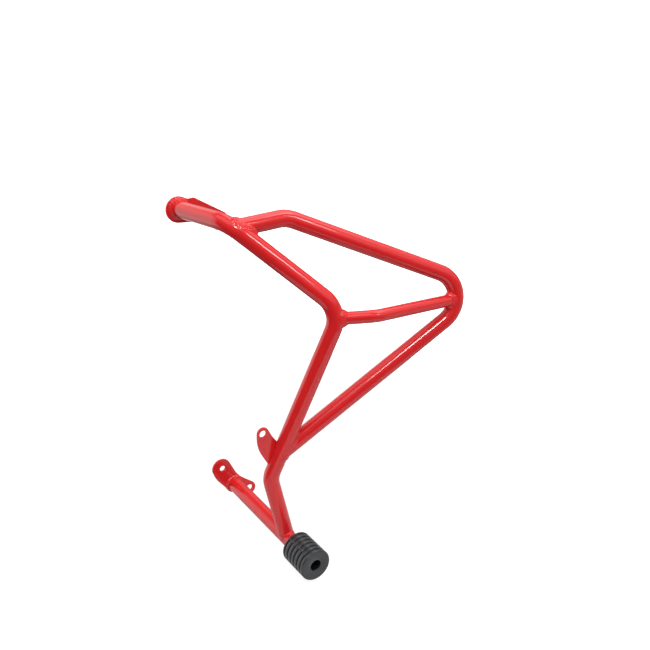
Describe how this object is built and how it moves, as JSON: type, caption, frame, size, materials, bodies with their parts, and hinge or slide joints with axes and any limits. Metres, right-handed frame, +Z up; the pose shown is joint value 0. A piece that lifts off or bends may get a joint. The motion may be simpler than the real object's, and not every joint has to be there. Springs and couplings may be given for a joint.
{
  "type": "motorcycle crash bar",
  "caption": "One-side engine guard of bent and welded steel tube with a braced front loop, bolt-on plates at its inner ends and a ribbed plastic slider.",
  "frame": {"origin": "the lower arm's axis on the inner face of the lower mounting plate", "axes": "+X to the front of the motorcycle, +Y towards its middle, +Z up, as fitted to its right side"},
  "size_m": [0.3889, 0.277, 0.5647],
  "materials": {
    "red_powder_coat": "glossy red powder coat over welded steel",
    "black_nylon": "turned black nylon with a satin sheen",
    "zinc_steel": "dull zinc plating",
    "bare_steel": "plain turned steel, hidden in the arm"
  },
  "bodies": {
    "root": {"cross_brace": "red_powder_coat", "loop_tube": "red_powder_coat", "lower_arm": "red_powder_coat", "lower_mount_plate": "red_powder_coat", "main_tube": "red_powder_coat", "side_tab": "red_powder_coat", "slider_bolt": "zinc_steel", "slider_bung": "bare_steel", "slider_puck": "black_nylon", "slider_sleeve": "zinc_steel", "slider_washer": "zinc_steel", "upper_mount_plate": "red_powder_coat", "weld_brace_front": "red_powder_coat", "weld_brace_rear": "red_powder_coat", "weld_loop_lower": "red_powder_coat", "weld_loop_upper": "red_powder_coat", "weld_lower_plate": "red_powder_coat", "weld_main_to_arm": "red_powder_coat", "weld_side_tab": "red_powder_coat", "weld_upper_plate": "red_powder_coat"}
  },
  "joints": []
}
